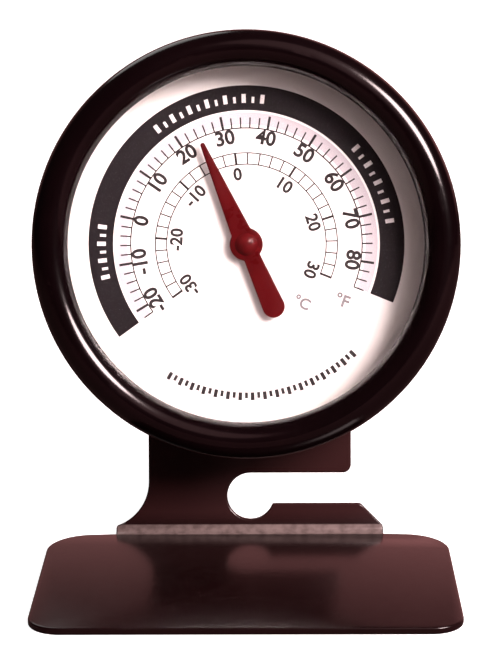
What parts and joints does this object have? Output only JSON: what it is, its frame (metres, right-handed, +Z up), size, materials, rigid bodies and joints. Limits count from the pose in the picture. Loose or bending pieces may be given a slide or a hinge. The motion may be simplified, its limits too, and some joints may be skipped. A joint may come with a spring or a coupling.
{
  "type": "dial thermometer",
  "caption": "Round dial thermometer on a bent sheet stand with a shelf-wire slot and a flat foot; a bimetal coil turns a red pointer over a printed scale.",
  "frame": {"origin": "centre of the foot's underside, on the surface that the stand rests on", "axes": "+Z up from that surface, -Y towards the reader of the dial, +X to the reader's right"},
  "size_m": [0.06, 0.0493, 0.0746],
  "materials": {
    "stand_enamel": "black-brown baked enamel, satin",
    "case_enamel": "black enamel",
    "bezel_enamel": "black gloss enamel",
    "rivet_steel": "black enamel over steel",
    "lens_glass": "clear polished",
    "gasket_rubber": "matte",
    "spacer_plastic": "matte black",
    "dial_print": "white print lacquer on aluminium sheet, black scale",
    "pointer_red": "red lacquer",
    "movement_brass": "machined",
    "movement_steel": "bright",
    "bimetal_strip": "rolled strip"
  },
  "bodies": {
    "case_and_stand": {"stand_bracket": "stand_enamel", "stand_rivets": "rivet_steel", "case_cup": "case_enamel", "bezel_ring": "bezel_enamel", "lens": "lens_glass", "lens_gasket": "gasket_rubber", "spacer_ring": "spacer_plastic", "dial_plate": "dial_print", "movement_bridge": "movement_brass", "rear_bush": "movement_brass", "front_bush": "movement_brass", "coil_anchor": "movement_steel", "coil_rivet": "movement_brass", "bimetal_coil": "bimetal_strip"},
    "pointer_assembly": {"pointer": "pointer_red", "pointer_bush": "pointer_red", "pointer_shaft": "movement_steel", "coil_collet": "movement_brass", "shaft_washer": "movement_steel", "shaft_clip": "movement_steel"}
  },
  "joints": [
    {"name": "pointer_turn", "type": "hinge", "parent": "case_and_stand", "child": "pointer_assembly", "pos_m": [0, 0.01803, 0.04432], "axis": [0, -0.9848, 0.1736], "range_deg": [-135.4, 102.2], "stiffness_Nm_per_rad": 0.0005, "deforming": ["bimetal_coil"]}
  ]
}
